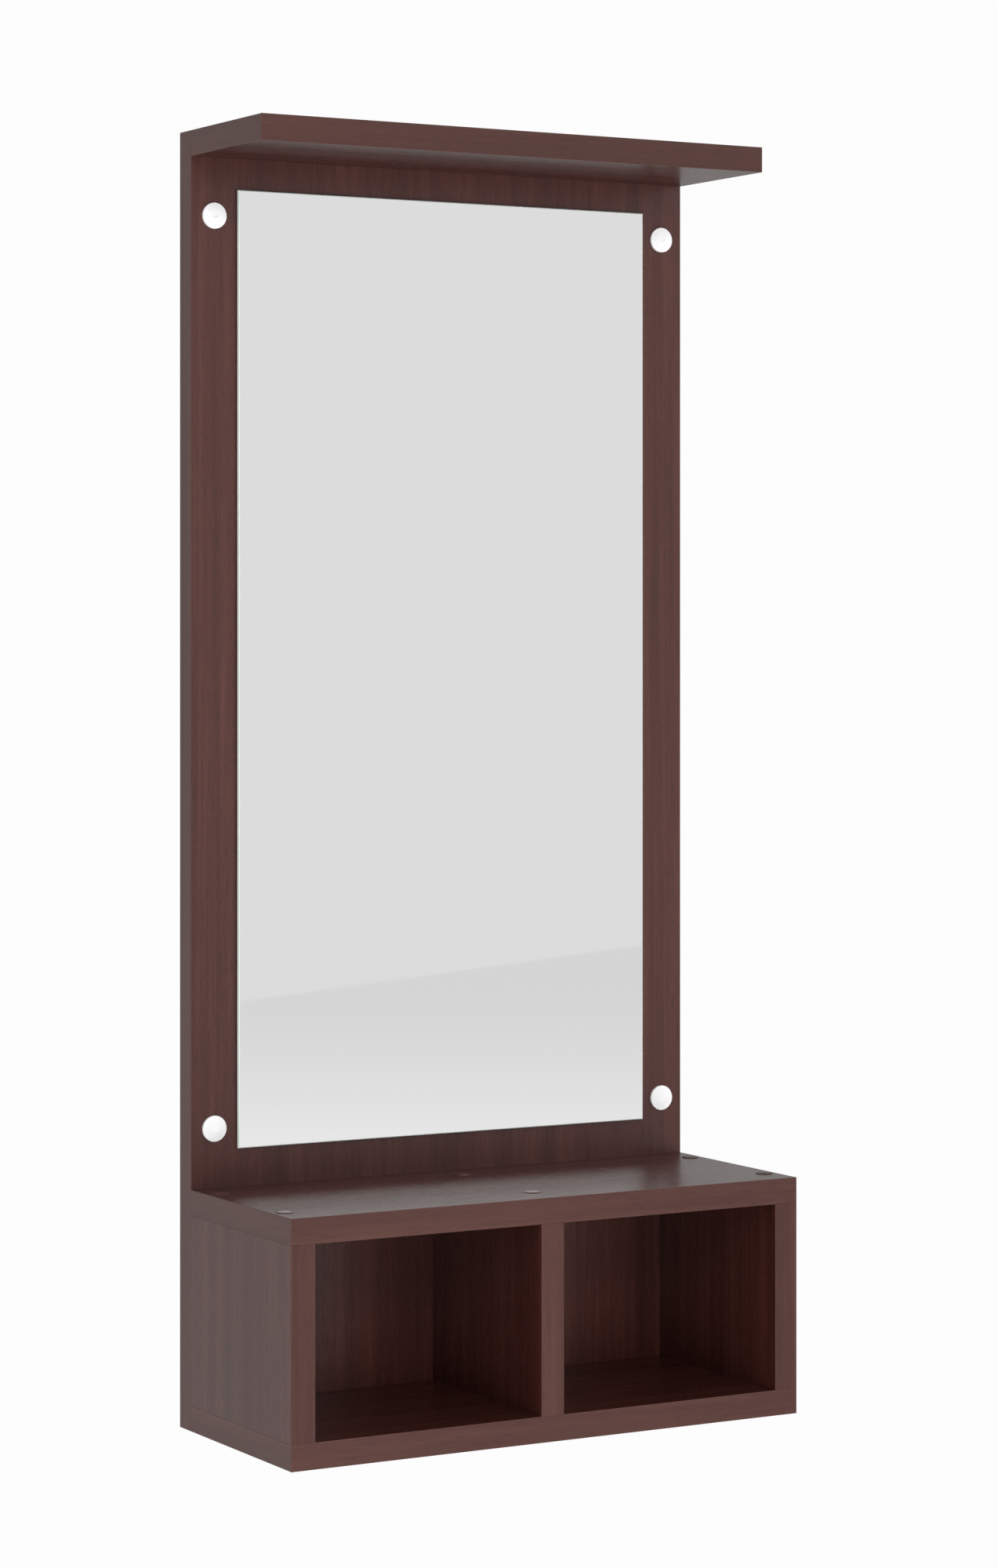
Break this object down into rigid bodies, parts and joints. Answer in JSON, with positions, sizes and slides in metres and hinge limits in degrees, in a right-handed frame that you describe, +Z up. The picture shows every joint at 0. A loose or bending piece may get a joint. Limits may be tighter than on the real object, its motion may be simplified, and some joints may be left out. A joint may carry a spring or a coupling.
{
  "type": "wall-mounted dressing table",
  "caption": "Wall-mounted dressing unit: tall dark wood-grain back panel with a frameless mirror, a shallow shelf along the top and an open divided box at the bottom.",
  "frame": {"origin": "centre of the rectangle of four wall-screw holes, on the plane of the panel's back face, which lies on the wall", "axes": "+Z up, +Y into the wall, +X to the right as seen from the front"},
  "size_m": [0.4, 0.172, 0.9],
  "materials": {
    "laminate": "satin",
    "edge_band": "satin",
    "mirror": "polished",
    "foam_tape": "matte",
    "screw_steel": "satin",
    "plug_cap": "satin",
    "snap_cap": "gloss",
    "washer": "matte"
  },
  "bodies": {
    "root": {"back_panel": "laminate", "top_shelf": "laminate", "cubby_top": "laminate", "cubby_bottom": "laminate", "cubby_side_left": "laminate", "cubby_divider": "laminate", "cubby_side_right": "laminate", "back_panel_band_left": "edge_band", "back_panel_band_right": "edge_band", "back_panel_band_top": "edge_band", "back_panel_band_bottom": "edge_band", "top_shelf_band_front": "edge_band", "top_shelf_band_left": "edge_band", "top_shelf_band_right": "edge_band", "cubby_top_band_front": "edge_band", "cubby_top_band_left": "edge_band", "cubby_top_band_right": "edge_band", "cubby_bottom_band_front": "edge_band", "cubby_bottom_band_left": "edge_band", "cubby_bottom_band_right": "edge_band", "cubby_side_left_band_front": "edge_band", "cubby_divider_band_front": "edge_band", "cubby_side_right_band_front": "edge_band", "mirror": "mirror", "mirror_tape": "foam_tape", "cubby_top_screws": "screw_steel", "cubby_bottom_screws": "screw_steel", "shelf_rear_screws": "screw_steel", "cubby_top_rear_screws": "screw_steel", "cubby_bottom_rear_screws": "screw_steel", "cubby_top_screw_caps": "plug_cap", "wall_screw_caps": "snap_cap", "wall_screw_washers": "washer"}
  },
  "joints": []
}
